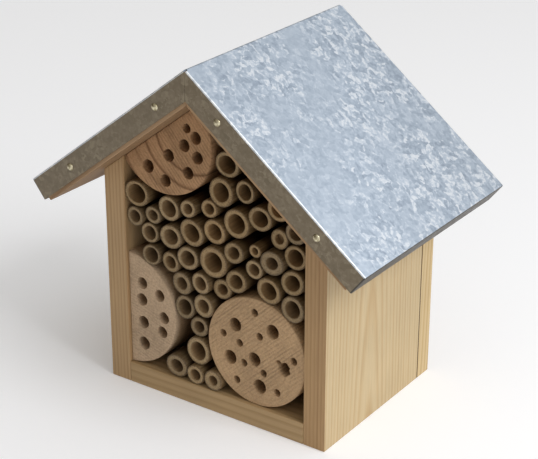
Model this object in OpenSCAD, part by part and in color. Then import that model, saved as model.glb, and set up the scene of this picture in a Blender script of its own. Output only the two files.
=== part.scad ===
// Insect hotel: a gabled wooden box under a folded galvanised cover, filled with drilled logs and
// bamboo canes that solitary bees and wasps nest in.
// Millimetres. +Z is up, the open front faces -Y, and the origin lies under the middle of the part.

/* [Box] */
// Width of the box across the outer faces of its side walls
body_w = 160; // [130:1:220]
// Depth of the box from its front edges to the rear face of its back panel
body_d = 120; // [90:1:180]
// Height of the side walls at their outer faces
wall_h = 140; // [110:1:200]
// Thickness of the two side walls
wall_t = 15; // [10:0.5:20]
// Thickness of the floor board
floor_t = 14; // [10:0.5:20]
// Thickness of the back panel
back_t = 14; // [10:0.5:20]

/* [Roof] */
// Slope of both roof halves, in degrees
roof_pitch = 38; // [30:1:48]
// Thickness of the two roof boards
roof_board_t = 16; // [10:0.5:22]
// How far the eaves stand out past the side walls, measured level
eave_overhang = 38; // [20:1:60]
// How far the roof stands out in front of the box
front_overhang = 22; // [8:1:40]
// How far the roof stands out behind the box
rear_overhang = 14; // [8:1:40]

/* [Metal cover] */
// Thickness of the galvanised steel sheet
sheet_t = 0.8; // [0.5:0.1:1.5]
// Height of the flanges that are folded down all round the sheet
flange_h = 14.5; // [10:0.5:20]
// Space between the eave flange and the end of the roof board
eave_gap = 2.7; // [0.5:0.1:6]
// Width of the open joint between the two flanges under the ridge
mitre_gap = 0.3; // [0.2:0.1:1]
// Diameter of the relief hole where the folds meet at the ridge
relief_d = 2.2; // [1:0.1:4]

/* [Logs] */
// Diameter of the full log on the right
right_log_d = 70; // [50:1:85]
// Diameter of the log from which the left half was sawn
left_log_d = 75; // [60:1:90]
// Depth of the left half log, from its sawn face to its round side
left_log_depth = 35.5; // [25:0.5:40]
// Diameter of the log from which the top half was sawn
top_log_d = 70; // [50:1:80]
// Depth of the top half log, from its sawn face to its round side
top_log_depth = 39.5; // [25:0.5:45]
// Distance down the left slope from the ridge to the middle of the top log
top_log_along = 49; // [42:1:60]
// How far the logs' front faces lie behind the front edges of the box
log_set_back = 2; // [0:0.5:8]
// Depth of the holes drilled into the logs
drill_depth = 70; // [20:1:80]

/* [Bamboo] */
// Clearance between two pieces that touch inside the box
touch_gap = 0.1; // [0.05:0.05:0.3]
// Length of the closed end behind each cane's bore
node_len = 12; // [5:1:20]
// Depth of the bore in the one cane that is closed just inside its mouth
plugged_depth = 4; // [2:0.5:20]

/* [Fixings] */
// Diameter of the domed heads of the brass nails
brass_head_d = 4.6; // [3:0.1:7]
// Height of the domed heads of the brass nails
brass_head_h = 1.5; // [0.8:0.1:2.5]
// Diameter of the shanks of the brass nails
brass_shank_d = 1.8; // [1:0.1:3]
// Length of the shanks of the brass nails
brass_shank_len = 18; // [10:1:25]
// Distance down the slope from the ridge to the upper brass nail
upper_nail_along = 33; // [20:1:60]
// Distance up the slope from the eave to the lower brass nail
lower_nail_from_eave = 34; // [15:1:60]
// Diameter of the steel nails that hold the roof boards
roof_nail_d = 2.2; // [1.6:0.1:3]
// Diameter of the heads of those nails
roof_nail_head_d = 4.4; // [3:0.1:7]
// Length of the steel nails that hold the roof boards
roof_nail_len = 42; // [36:1:60]
// Diameter of the shanks of the back panel's screws
back_screw_d = 3; // [2.5:0.1:4]
// Diameter of the countersunk heads of the back panel's screws
back_screw_head_d = 6; // [5:0.1:8]
// Length of the back panel's screws
back_screw_len = 30; // [20:1:40]

/* [Hanger] */
// Width of the hanger plate
hanger_w = 18; // [16:0.5:26]
// Height of the hanger plate over its round ends
hanger_h = 52; // [46:1:70]
// Thickness of the hanger plate
hanger_t = 1.5; // [1:0.1:3]
// Diameter of the hole that goes over the head of a wall screw
hanging_hole_d = 9; // [7:0.1:10]
// Width of the slot that slides down onto the wall screw's shank
hanging_slot_w = 4.5; // [3.5:0.1:5.5]
// Length of that slot above the middle of the hole
hanging_slot_len = 11; // [8:0.5:14]
// Depth of the pocket behind the plate, which takes the wall screw's head
hanger_pocket_depth = 6; // [4:0.5:8]
// Diameter of the hanger plate's two screws
hanger_screw_d = 3; // [2.5:0.1:4]
// Diameter of the heads of the hanger plate's two screws
hanger_screw_head_d = 5.6; // [4.5:0.1:7]
// Distance of the hanging hole below the peak of the cavity
hanger_drop = 48; // [40:1:80]

/* [Hidden] */
$fn = 48;
tiny = 0.0001;
over = 1;

// Box and roof
cavity_w = body_w - 2 * wall_t;
half_w = body_w / 2;
half_cavity = cavity_w / 2;
slope_rise = tan(roof_pitch);
slope_sin = sin(roof_pitch);
slope_cos = cos(roof_pitch);
inner_peak = wall_h + half_w * slope_rise;
ridge_h = inner_peak + (roof_board_t + sheet_t) / slope_cos;
slope_len = (half_w + eave_overhang) / slope_cos;
board_end = slope_len - sheet_t - eave_gap;
roof_d = front_overhang + body_d + rear_overhang;
roof_front_y = -roof_d / 2;
roof_back_y = roof_d / 2;
front_y = roof_front_y + front_overhang;
back_y = front_y + body_d;
wall_d = body_d - back_t;
wall_back_y = front_y + wall_d;

// Logs: the middle and radius of each in the X-Z plane, never wider than the room between the walls
least_between_logs = 2;
widest_right_log = cavity_w - left_log_depth - least_between_logs;
right_log_r = min(right_log_d, widest_right_log) / 2;
left_log_r = left_log_d / 2;
top_log_r = top_log_d / 2;
left_log_x = left_log_depth - half_cavity - left_log_r;
left_log_half_flat = sqrt(left_log_r * left_log_r - pow(left_log_r - left_log_depth, 2));
top_log_in = top_log_depth - top_log_r;
right_log = [half_cavity - right_log_r - touch_gap, floor_t + right_log_r + touch_gap, right_log_r];
left_log = [left_log_x, floor_t + left_log_half_flat + touch_gap, left_log_r];
top_log = [
    top_log_in * slope_sin - top_log_along * slope_cos,
    inner_peak - top_log_along * slope_sin - top_log_in * slope_cos,
    top_log_r
];

// Holes in the logs: place across and up from the log's middle as parts of its radius, and diameter
right_log_holes = [
    [-0.43, 0.40, 8.5], [0.33, 0.49, 9], [-0.54, -0.25, 9], [-0.04, -0.14, 8.5], [0.57, -0.14, 8.5],
    [0.07, -0.63, 9], [-0.03, 0.74, 4.8], [-0.68, 0.17, 4.8], [-0.34, 0.08, 4.8], [0.07, 0.32, 4.8],
    [0.76, 0.07, 4.8], [-0.25, -0.27, 4.8], [0.15, -0.35, 4.8], [-0.40, -0.64, 4.8],
    [0.43, -0.63, 4.8], [0.46, -0.03, 3.5]
];
left_log_holes = [
    [0.32, 0.50, 7.5], [0.30, 0.20, 8], [0.67, 0.37, 7.5], [0.75, -0.01, 7.5], [0.32, -0.21, 8],
    [0.71, -0.28, 7.5], [0.32, -0.60, 8.5]
];
top_log_holes = [
    [0.68, 0.15, 7.5], [0.44, -0.03, 7.5], [0.11, -0.28, 7.5], [-0.33, -0.57, 8], [0.03, -0.75, 7.5],
    [0.51, -0.50, 7.5], [0.71, -0.19, 7.5], [0.50, 0.28, 5.5]
];

// Canes, in the order in which they are wedged in. Each has its outer diameter, its bore, the place
// where it is wanted (across from the middle of the cavity and up from the floor) and how far its
// mouth lies behind the front edges of the box.
layout_w = 130;
layout_h = 188.5;
canes = [
    [13.5, 6.5, 1, 6.5, 0.5], [13, 7.5, -12.5, 5, 0.5], [16, 9, -28, 7.5, 1],
    [18.5, 12, -13.5, 20, 2.5], [13.5, 7.5, -13, 36.5, 3.5], [15.5, 10, -24, 48, 3],
    [15, 8.5, -7, 54, 1.5], [15, 8, -25, 64, 3], [14, 8.5, -10, 69.5, 1.5],
    [13.5, 7, 5.5, 67, 4], [14, 10, -48, 75.5, 2], [13.5, 8, -34, 75.5, 3],
    [16.5, 10.5, 55.5, 71, 2.5], [17, 11, 39, 78.5, 2], [15, 9, 17.5, 78.5, 2],
    [16, 10, -19.5, 82.5, 2.5], [20.5, 13, 0.5, 85.5, 1], [16, 10, 54.5, 87.5, 3],
    [16, 8, 41.5, 96.5, 1], [12.5, 7.5, 27, 89.5, 2.5], [14, 8, 14, 95, 1.5],
    [8.5, 4.5, 27.5, 102.5, 0.5], [13.5, 9, -48.5, 91, 3], [16, 10, -32.5, 94.5, 1.5],
    [18, 11.5, -15, 100.5, 1.5], [16, 10, 1, 105, 2], [13, 8, -59.5, 98.5, 1.5],
    [12, 7, -45.5, 103, 2.5], [17.5, 12.5, -56, 115.5, 1], [16, 10.5, -33, 111, 2.5],
    [11.5, 6.5, -18.5, 116, 1.5], [12, 7, -3.5, 120, 2], [15.5, 10.5, 56.5, 103, 3.5],
    [12.5, 6, 44.5, 111.5, 4], [19, 12.5, 15.5, 113.5, 2.5], [16, 10.5, 30.5, 120, 3],
    [18, 11.5, 6, 131.5, 2], [14, 9.5, 20, 134, 3.5], [16.5, 11.5, 8.5, 147, 4],
    [14.5, 9, 57, 118.5, 3], [15.5, 10, 44.5, 129.5, 3], [13.5, 8, 36, 147, 3],
    [13.5, 8, 22, 158.5, 3], [8.5, 5, 59.5, 134, 3], [17, 11, 8, 166, 3]
];
plugged_cane = 33;

// Flat faces round the cavity: unit normal pointing inwards, and its distance from the origin
faces = [
    [1, 0, -half_cavity], [-1, 0, -half_cavity], [0, 1, floor_t],
    [slope_sin, -slope_cos, -inner_peak * slope_cos],
    [-slope_sin, -slope_cos, -inner_peak * slope_cos]
];

// How far from its wanted place a cane may end up, and how a cane that doesn't fit is made thinner
cane_reach = 14;
thinner_by = 0.08;
thinnest = 0.3;

function dot2(a, b) = a[0] * b[0] + a[1] * b[1];
function middle(c) = [c[0], c[1]];

// Places for the middle of a cane of radius r that touches one or two of its neighbours
function on_circle(c, w, r) =
    let (v = w - middle(c), d = norm(v))
    d < tiny ? [] : [middle(c) + v * (r + c[2] + touch_gap) / d];
function on_face(f, w, r) = [w + (f[2] + r + touch_gap - dot2(f, w)) * middle(f)];
function between_circles(a, b, r) =
    let (
        ra = r + a[2] + touch_gap,
        rb = r + b[2] + touch_gap,
        d = norm(middle(b) - middle(a))
    )
    d < tiny || d > ra + rb || d < abs(ra - rb) ? [] :
    let (
        u = (middle(b) - middle(a)) / d,
        m = (ra * ra - rb * rb + d * d) / (2 * d),
        h = sqrt(max(0, ra * ra - m * m)),
        foot = middle(a) + m * u,
        side = h * [-u[1], u[0]]
    )
    [foot + side, foot - side];
function between_face_and_circle(f, c, r) =
    let (reach = r + c[2] + touch_gap, k = f[2] + r + touch_gap - dot2(f, c))
    abs(k) > reach ? [] :
    let (foot = middle(c) + k * middle(f), h = sqrt(reach * reach - k * k))
    [foot + h * [-f[1], f[0]], foot - h * [-f[1], f[0]]];
function between_faces(a, b, r) =
    let (det = a[0] * b[1] - a[1] * b[0], da = a[2] + r + touch_gap, db = b[2] + r + touch_gap)
    abs(det) < tiny ? [] : [[da * b[1] - a[1] * db, a[0] * db - da * b[0]] / det];

function is_free(p, r, placed) =
    min([for (c = placed) norm(p - middle(c)) - c[2]]) > r + touch_gap - tiny
    && min([for (f = faces) dot2(f, p) - f[2]]) > r + touch_gap - tiny;

// The free place nearest to w for a cane of radius r, or an empty list
function free_place(w, r, placed) =
    let (
        near = [for (c = placed) if (norm(w - middle(c)) < c[2] + 2 * r + cane_reach) c],
        flat = [for (f = faces) if (dot2(f, w) - f[2] < r + cane_reach + 5) f],
        n = len(near),
        m = len(flat),
        tried = [
            for (c = near) each on_circle(c, w, r),
            for (f = flat) each on_face(f, w, r),
            for (i = [0:1:n - 2]) for (j = [i + 1:1:n - 1]) each between_circles(near[i], near[j], r),
            for (f = flat) for (c = near) each between_face_and_circle(f, c, r),
            for (i = [0:1:m - 2]) for (j = [i + 1:1:m - 1]) each between_faces(flat[i], flat[j], r)
        ],
        good = [for (p = tried) if (norm(p - w) < cane_reach && is_free(p, r, placed)) p],
        far = [for (p = good) norm(p - w)]
    )
    len(good) == 0 ? [] : good[search(min(far), far)[0]];

// A cane keeps its size where there is room for it, and is a thinner one where there isn't
function fitted(w, r, placed, share) =
    let (p = free_place(w, r * share, placed))
    len(p) == 2 || share < thinnest ? [each (len(p) == 2 ? p : w), r * share, share]
    : fitted(w, r, placed, share - thinner_by);

function wedge_in(i, placed) =
    i == len(canes) ? [] :
    let (
        across = canes[i][2] * cavity_w / layout_w,
        up = floor_t + canes[i][3] * (inner_peak - floor_t) / layout_h,
        spot = fitted([across, up], canes[i][0] / 2, placed, 1)
    )
    [spot, each wedge_in(i + 1, [each placed, spot])];

cane_spots = wedge_in(0, [right_log, left_log, top_log]);

function cane_name(i) = str("bamboo_tube_", i < 9 ? "0" : "", i + 1);

// A point on the roof's section: distance down the outer slope, and depth under it
function slope_point(side, along, depth) = [
    side * (along * slope_cos - depth * slope_sin),
    ridge_h - along * slope_sin - depth * slope_cos
];
function under_roof(x) = inner_peak - abs(x) * slope_rise;

// Places of the fixings
nail_alongs = [upper_nail_along, slope_len - lower_nail_from_eave];
brass_places = [for (side = [-1, 1]) for (along = nail_alongs) slope_point(side, along, flange_h / 2)];
wall_mid_x = half_w - wall_t / 2;
back_mid_y = back_y - back_t / 2;
roof_nail_places = [
    for (side = [-1, 1]) each [
        [side * wall_mid_x, front_y + wall_d * 0.2],
        [side * wall_mid_x, front_y + wall_d * 0.8],
        [side * half_w * 0.4, back_mid_y]
    ]
];
roof_nail_sunk = 0.4 + roof_nail_head_d / 2 * slope_rise;
roof_nail_head_h = 1;
back_screw_places = [
    for (side = [-1, 1]) each [
        [side * wall_mid_x, wall_h * 0.15],
        [side * wall_mid_x, wall_h * 0.75],
        [side * half_cavity * 0.5, floor_t / 2]
    ]
];
hanging_z = inner_peak - hanger_drop;
hanger_end_r = hanger_w / 2;
hanger_screw_reach = hanger_h / 2 - hanger_end_r + 2;
hanger_mid_z = hanging_z + hanging_slot_len / 2 - 1;
hanger_screw_len = 9;
hanger_screw_head_h = 1.6;
hanger_pocket_margin = 1.5;

// An outline in the X-Z plane, extruded from y0 back to y1
module upright(outline, y0, y1) {
    translate([0, y1, 0]) rotate([90, 0, 0]) linear_extrude(y1 - y0) polygon(outline);
}

// A round bar or hole along Y, from y0 back to y1
module bar_y(x, z, d, y0, y1) {
    translate([x, y1, z]) rotate([90, 0, 0]) cylinder(d = d, h = y1 - y0);
}

// A cross recess pressed into a screw head that faces +Z, with its bottom at z = 0
module cross_recess(d, depth) {
    for (turn = [0, 90]) rotate([0, 0, turn])
        translate([-d / 2, -d / 10, 0]) cube([d, d / 5, depth + over]);
}

// Brass nail along +Z with its head's flat underside at z = 0 and its shank below
module brass_nail() {
    dome_r = (pow(brass_head_d / 2, 2) + pow(brass_head_h, 2)) / (2 * brass_head_h);
    intersection() {
        translate([0, 0, brass_head_h - dome_r]) sphere(r = dome_r);
        cylinder(d = brass_head_d, h = brass_head_h + over);
    }
    translate([0, 0, -brass_shank_len]) cylinder(d = brass_shank_d, h = brass_shank_len + tiny);
}

// Steel nail along +Z with the top of its flat head at z = 0
module roof_nail() {
    translate([0, 0, -roof_nail_head_h]) cylinder(d = roof_nail_head_d, h = roof_nail_head_h);
    translate([0, 0, -roof_nail_len]) cylinder(d = roof_nail_d, h = roof_nail_len - tiny);
}

// Countersunk screw along +Z with the top of its head at z = 0
module back_screw() {
    cone_h = (back_screw_head_d - back_screw_d) / 2;
    difference() {
        union() {
            translate([0, 0, -cone_h])
                cylinder(d1 = back_screw_d, d2 = back_screw_head_d, h = cone_h);
            translate([0, 0, -back_screw_len]) cylinder(d = back_screw_d, h = back_screw_len - cone_h);
        }
        translate([0, 0, -1]) cross_recess(back_screw_head_d * 0.6, 1);
    }
}

// Pan-head screw along +Z with its head's flat underside at z = 0
module hanger_screw() {
    difference() {
        cylinder(d = hanger_screw_head_d, h = hanger_screw_head_h);
        translate([0, 0, hanger_screw_head_h - 0.9]) cross_recess(hanger_screw_head_d * 0.6, 1);
    }
    translate([0, 0, -hanger_screw_len]) cylinder(d = hanger_screw_d, h = hanger_screw_len + tiny);
}

// Holes that the fixings fill, at their places in the part
module brass_nail_holes() {
    for (p = brass_places) for (y = [roof_front_y, roof_back_y])
        bar_y(p[0], p[1], brass_shank_d, y - brass_shank_len, y + brass_shank_len);
}

module roof_nail_holes() {
    for (p = roof_nail_places) {
        top = ridge_h - sheet_t / slope_cos - abs(p[0]) * slope_rise - roof_nail_sunk;
        translate([p[0], p[1], top - roof_nail_len]) cylinder(d = roof_nail_d, h = roof_nail_len);
        translate([p[0], p[1], top - roof_nail_head_h])
            cylinder(d = roof_nail_head_d, h = roof_nail_head_h + roof_board_t);
    }
}

module back_screw_holes() {
    cone_h = (back_screw_head_d - back_screw_d) / 2;
    for (p = back_screw_places) {
        bar_y(p[0], p[1], back_screw_d, back_y - back_screw_len, back_y + over);
        translate([p[0], back_y, p[1]]) rotate([-90, 0, 0]) translate([0, 0, -cone_h])
            cylinder(d1 = back_screw_d, d2 = back_screw_head_d, h = cone_h);
    }
}

// Round end to round end, upright, in the X-Z plane: the plate, its slot and its pocket
module upright_slot(w, z0, z1, y0, y1) {
    bar_y(0, z0, w, y0, y1);
    bar_y(0, z1, w, y0, y1);
    translate([-w / 2, y0, z0]) cube([w, y1 - y0, z1 - z0]);
}

module side_wall(side) {
    outer = side * half_w;
    inner = side * half_cavity;
    outline = [[outer, 0], [inner, 0], [inner, under_roof(inner)], [outer, under_roof(outer)]];
    color("#cdb48c") difference() {
        upright(outline, front_y, wall_back_y);
        roof_nail_holes();
        back_screw_holes();
    }
}

module floor_board() {
    color("#c3a67c") difference() {
        translate([-half_cavity, front_y, 0]) cube([cavity_w, wall_d, floor_t]);
        back_screw_holes();
    }
}

module back_panel() {
    eaves_z = under_roof(half_w);
    outline = [[-half_w, 0], [half_w, 0], [half_w, eaves_z], [0, inner_peak], [-half_w, eaves_z]];
    pocket_w = hanging_hole_d + 2 * hanger_pocket_margin;
    color("#c9ae84") difference() {
        upright(outline, wall_back_y, back_y);
        roof_nail_holes();
        back_screw_holes();
        upright_slot(pocket_w, hanging_z, hanging_z + hanging_slot_len,
            back_y - hanger_pocket_depth, back_y + over);
        for (end = [-1, 1])
            bar_y(0, hanger_mid_z + end * hanger_screw_reach, hanger_screw_d,
                back_y + hanger_t - hanger_screw_len, back_y + over);
    }
}

module roof_board(side) {
    outline = [
        [0, inner_peak],
        [0, inner_peak + roof_board_t / slope_cos],
        slope_point(side, board_end, sheet_t),
        slope_point(side, board_end, sheet_t + roof_board_t)
    ];
    color("#b08a5e") difference() {
        upright(outline, roof_front_y + sheet_t, roof_back_y - sheet_t);
        brass_nail_holes();
        roof_nail_holes();
    }
}

module metal_roof() {
    skin = [
        [0, ridge_h],
        slope_point(1, slope_len, 0),
        slope_point(1, slope_len, flange_h),
        slope_point(1, slope_len - sheet_t, flange_h),
        slope_point(1, slope_len - sheet_t, sheet_t),
        [0, ridge_h - sheet_t / slope_cos],
        slope_point(-1, slope_len - sheet_t, sheet_t),
        slope_point(-1, slope_len - sheet_t, flange_h),
        slope_point(-1, slope_len, flange_h),
        slope_point(-1, slope_len, 0)
    ];
    fascia = [
        [0, ridge_h],
        slope_point(1, slope_len, 0),
        slope_point(1, slope_len, flange_h),
        [0, ridge_h - flange_h / slope_cos],
        slope_point(-1, slope_len, flange_h),
        slope_point(-1, slope_len, 0)
    ];
    color("#b4c0cc") difference() {
        union() {
            upright(skin, roof_front_y, roof_back_y);
            upright(fascia, roof_front_y, roof_front_y + sheet_t);
            upright(fascia, roof_back_y - sheet_t, roof_back_y);
        }
        brass_nail_holes();
        for (end = [-1, 1]) translate([0, end * roof_back_y, ridge_h]) {
            rotate([end * -45, 0, 0]) cylinder(d = relief_d, h = 6 * sheet_t, center = true);
            translate([-mitre_gap / 2, -2 * sheet_t, -flange_h / slope_cos - over])
                cube([mitre_gap, 4 * sheet_t, flange_h / slope_cos + over - 1.5 * sheet_t]);
        }
    }
}

module brass_nails() {
    color("#c9a24a") for (p = brass_places) {
        translate([p[0], roof_front_y, p[1]]) rotate([90, 0, 0]) brass_nail();
        translate([p[0], roof_back_y, p[1]]) rotate([-90, 0, 0]) brass_nail();
    }
}

module roof_nails() {
    color("#8f9499") for (p = roof_nail_places)
        translate([
            p[0], p[1],
            ridge_h - sheet_t / slope_cos - abs(p[0]) * slope_rise - roof_nail_sunk
        ]) roof_nail();
}

module back_screws() {
    color("#b9a25a") for (p = back_screw_places)
        translate([p[0], back_y, p[1]]) rotate([-90, 0, 0]) back_screw();
}

module hanger_plate() {
    low_z = hanger_mid_z - hanger_h / 2 + hanger_end_r;
    high_z = hanger_mid_z + hanger_h / 2 - hanger_end_r;
    color("#a9adb0") difference() {
        upright_slot(hanger_w, low_z, high_z, back_y, back_y + hanger_t);
        bar_y(0, hanging_z, hanging_hole_d, back_y - over, back_y + hanger_t + over);
        upright_slot(hanging_slot_w, hanging_z, hanging_z + hanging_slot_len,
            back_y - over, back_y + hanger_t + over);
        for (end = [-1, 1])
            bar_y(0, hanger_mid_z + end * hanger_screw_reach, hanger_screw_d,
                back_y - over, back_y + hanger_t + over);
    }
}

module hanger_screws() {
    color("#b5b8ba") for (end = [-1, 1])
        translate([0, back_y + hanger_t, hanger_mid_z + end * hanger_screw_reach])
            rotate([-90, 0, 0]) hanger_screw();
}

// A log along Y with its drilled holes
module drilled_log(log, holes) {
    mouth_y = front_y + log_set_back;
    difference() {
        bar_y(log[0], log[1], 2 * log[2], mouth_y, wall_back_y - touch_gap, $fn = 96);
        for (h = holes)
            bar_y(log[0] + h[0] * log[2], log[1] + h[1] * log[2], h[2], mouth_y - over,
                mouth_y + min(drill_depth, wall_d - log_set_back - node_len));
    }
}

module right_log() {
    color("#c2a077") drilled_log(right_log, right_log_holes);
}

module left_log() {
    color("#bfa886") difference() {
        drilled_log(left_log, left_log_holes);
        translate([-half_cavity - left_log_d + touch_gap, front_y, 0])
            cube([left_log_d, body_d, wall_h + body_w]);
    }
}

module top_log() {
    color("#9a7350") difference() {
        drilled_log(top_log, top_log_holes);
        translate([0, front_y, inner_peak]) rotate([0, -roof_pitch, 0])
            translate([-body_w, 0, -touch_gap]) cube([2 * body_w, body_d, top_log_d + touch_gap]);
        translate([-half_cavity - top_log_d + touch_gap, front_y, 0])
            cube([top_log_d, body_d, wall_h + body_w]);
    }
}

module bamboo_tube(i) {
    spot = cane_spots[i];
    mouth_y = front_y + canes[i][4];
    rear_y = wall_back_y - touch_gap;
    bore_end = i == plugged_cane ? mouth_y + plugged_depth : rear_y - node_len;
    color("#a89470") difference() {
        bar_y(spot[0], spot[1], 2 * spot[2], mouth_y, rear_y);
        bar_y(spot[0], spot[1], canes[i][1] * spot[3], mouth_y - over, bore_end);
    }
}

side_wall(-1);  // left_wall
side_wall(1);  // right_wall
floor_board();
back_panel();
roof_board(-1);  // left_roof_board
roof_board(1);  // right_roof_board
metal_roof();
brass_nails();
roof_nails();
back_screws();
hanger_plate();
hanger_screws();
top_log();
left_log();
right_log();
for (i = [0:len(canes) - 1]) bamboo_tube(i);
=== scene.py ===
# %% [markdown]
# # Insect hotel
# A small house of pine boards stands under a cover folded from galvanised sheet. Its open front
# shows three drilled pieces of branch and a packed bundle of bamboo canes, where solitary bees
# and wasps nest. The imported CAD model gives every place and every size. This notebook reads them
# from it, and makes what CAD leaves plain: eased edges, folds, sawn ends, grain and spangle.

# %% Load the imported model
import math
import random
from functools import partial

import bmesh
import bpy
import numpy as np
from mathutils import Matrix, Vector


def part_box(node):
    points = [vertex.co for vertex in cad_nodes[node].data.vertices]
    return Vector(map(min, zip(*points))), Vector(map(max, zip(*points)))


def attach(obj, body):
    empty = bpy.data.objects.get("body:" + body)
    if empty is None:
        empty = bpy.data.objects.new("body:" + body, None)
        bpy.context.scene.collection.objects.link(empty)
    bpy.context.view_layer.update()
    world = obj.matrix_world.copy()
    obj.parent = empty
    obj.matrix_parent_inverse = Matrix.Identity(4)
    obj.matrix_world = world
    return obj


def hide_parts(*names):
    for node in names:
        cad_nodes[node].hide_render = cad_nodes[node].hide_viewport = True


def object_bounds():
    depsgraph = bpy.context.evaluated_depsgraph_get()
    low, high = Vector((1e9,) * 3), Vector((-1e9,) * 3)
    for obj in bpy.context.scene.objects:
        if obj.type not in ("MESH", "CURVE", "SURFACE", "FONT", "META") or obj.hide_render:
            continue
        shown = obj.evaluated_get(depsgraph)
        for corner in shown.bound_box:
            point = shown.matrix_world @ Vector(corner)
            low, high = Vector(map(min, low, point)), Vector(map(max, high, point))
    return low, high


MM = 0.001
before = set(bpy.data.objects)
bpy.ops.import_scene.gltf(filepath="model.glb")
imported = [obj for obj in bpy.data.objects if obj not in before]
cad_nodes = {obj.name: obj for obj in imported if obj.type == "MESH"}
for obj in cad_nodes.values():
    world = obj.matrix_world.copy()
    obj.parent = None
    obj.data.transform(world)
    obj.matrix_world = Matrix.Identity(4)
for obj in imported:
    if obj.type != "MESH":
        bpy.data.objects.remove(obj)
cad_low, cad_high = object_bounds()
cane_nodes = sorted(name for name in cad_nodes if name.startswith("bamboo_tube"))
print("nodes", len(cad_nodes), "of which canes", len(cane_nodes))
print("CAD size in mm", [round(side / MM, 1) for side in cad_high - cad_low])

# %% [markdown]
# ## Reading loops from a flat face
# A board's outline, a cane's mouth and a drilled hole all lie in the plane of a node's front
# face. The triangles in that plane share most of their edges. An edge that only one of them uses
# lies on a border, and such edges chain into closed loops. The longest loop is the outline and
# the others are holes, so places and radii are measured and never typed in again.


# %% Find the loops of a front or rear face
def face_loops(node, rear=False):
    mesh = cad_nodes[node].data
    spots = [tuple(round(c * 1e6) for c in vertex.co) for vertex in mesh.vertices]
    plane = max(s[1] for s in spots) if rear else min(s[1] for s in spots)
    border = set()
    for triangle in mesh.polygons:
        corners = [spots[i] for i in triangle.vertices]
        if any(abs(corner[1] - plane) > 2 for corner in corners):
            continue
        for start, end in zip(corners, corners[1:] + corners[:1]):
            if (end, start) in border:
                border.remove((end, start))
            elif start != end:
                border.add((start, end))
    following = dict(border)
    loops = []
    while following:
        start, spot = following.popitem()
        loop = [start]
        while spot in following:
            loop.append(spot)
            spot = following.pop(spot)
        loops.append(np.array([[s[0] * 1e-6, s[2] * 1e-6] for s in loop]))

    def length(loop):
        return np.linalg.norm(loop - np.roll(loop, 1, axis=0), axis=1).sum()

    return sorted(loops, key=length, reverse=True)


def loop_circle(loop):
    centre = (loop.min(axis=0) + loop.max(axis=0)) / 2
    return centre, np.linalg.norm(loop - centre, axis=1).mean()


cane_sizes = {}
for name in cane_nodes:
    low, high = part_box(name)
    rings = face_loops(name)
    centre, outer_r = loop_circle(rings[0])
    bore_r = loop_circle(rings[1])[1]
    inside = [
        v.co.y
        for v in cad_nodes[name].data.vertices
        if math.hypot(v.co.x - centre[0], v.co.z - centre[1]) < bore_r * 1.02
        and v.co.y < high.y - 1 * MM
    ]
    cane_sizes[name] = {
        "centre": (float(centre[0]), low.y, float(centre[1])),
        "outer_r": float(outer_r),
        "bore_r": float(bore_r),
        "depth": max(inside) - low.y,
        "length": high.y - low.y,
    }
widths = [2 * size["outer_r"] / MM for size in cane_sizes.values()]
print("canes from", round(min(widths), 1), "to", round(max(widths), 1), "mm thick")

# %% [markdown]
# ## Small helpers
# A node tree is easier to read when one line makes one node with its settings and its links, so
# one helper does that for shaders and for geometry alike. Colours are written as sRGB hex values,
# as a paint card gives them, and turned to the linear values that a shader needs. A pattern's
# scale is worked out from the real size of what it draws.


# %% Node, colour and mesh helpers
def linear(hex_colour):
    channels = [int(hex_colour[i : i + 2], 16) / 255 for i in (1, 3, 5)]
    return [c / 12.92 if c <= 0.04045 else ((c + 0.055) / 1.055) ** 2.4 for c in channels] + [1]


def scale_for(*sizes_mm):
    """The Scale of a pattern whose features are this many millimetres across."""
    scales = [1 / (size * MM) for size in sizes_mm]
    return scales if len(scales) > 1 else scales[0]


def feed(socket, value):
    """A socket takes a plain value, a hex colour, or the node or socket that it is linked to."""
    if isinstance(value, bpy.types.Node):
        value = next(output for output in value.outputs if output.enabled)
    if isinstance(value, bpy.types.NodeSocket):
        socket.id_data.links.new(value, socket)
    elif isinstance(value, str) and value.startswith("#"):
        socket.default_value = linear(value)
    else:
        socket.default_value = value


def set_stops(ramp, stops):
    """A stop is a place from 0 to 1 with a hex colour or a grey value."""
    while len(ramp.elements) < len(stops):
        ramp.elements.new(0.5)
    for element, (place, colour) in zip(ramp.elements, stops):
        element.position = place
        element.color = linear(colour) if isinstance(colour, str) else [colour] * 3 + [1]


def add_node(tree, kind, *inputs, stops=(), **named):
    """Inputs feed the node's open sockets in order. A name is a setting or else a socket."""
    node = tree.nodes.new(kind)
    settings = [key for key in named if hasattr(node, key)]
    for key in settings:
        setattr(node, key, named[key])
    if stops:
        set_stops(node.color_ramp, stops)
    for socket, value in zip([s for s in node.inputs if s.enabled], inputs):
        feed(socket, value)
    for key, value in named.items():
        if key not in settings:
            feed(node.inputs[key.replace("_", " ")], value)
    return node


def new_material(name, **surface):
    """Returns the material, its tree's own add_node, its shader and its Object coordinates."""
    material = bpy.data.materials.new(name)
    material.use_nodes = True
    add = partial(add_node, material.node_tree)
    shader = material.node_tree.nodes["Principled BSDF"]
    for socket, value in surface.items():
        feed(shader.inputs[socket.replace("_", " ")], value)
    print("material", name)
    return material, add, shader, add("ShaderNodeTexCoord").outputs["Object"]


def finish_shader(add, shader, colour, height, bump_mm, roughness=None):
    feed(shader.inputs["Base Color"], colour)
    if roughness is not None:
        feed(shader.inputs["Roughness"], roughness)
    bump = add("ShaderNodeBump", Distance=bump_mm * MM, Height=height)
    feed(shader.inputs["Normal"], bump)


def tinted(add, colour, factor, stops, interpolation="LINEAR"):
    """Multiplies a colour by the shade that a ramp gives for factor."""
    shade = add("ShaderNodeValToRGB", factor, stops=stops)
    shade.color_ramp.interpolation = interpolation
    return add("ShaderNodeMix", 1.0, colour, shade, data_type="RGBA", blend_type="MULTIPLY")


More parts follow.
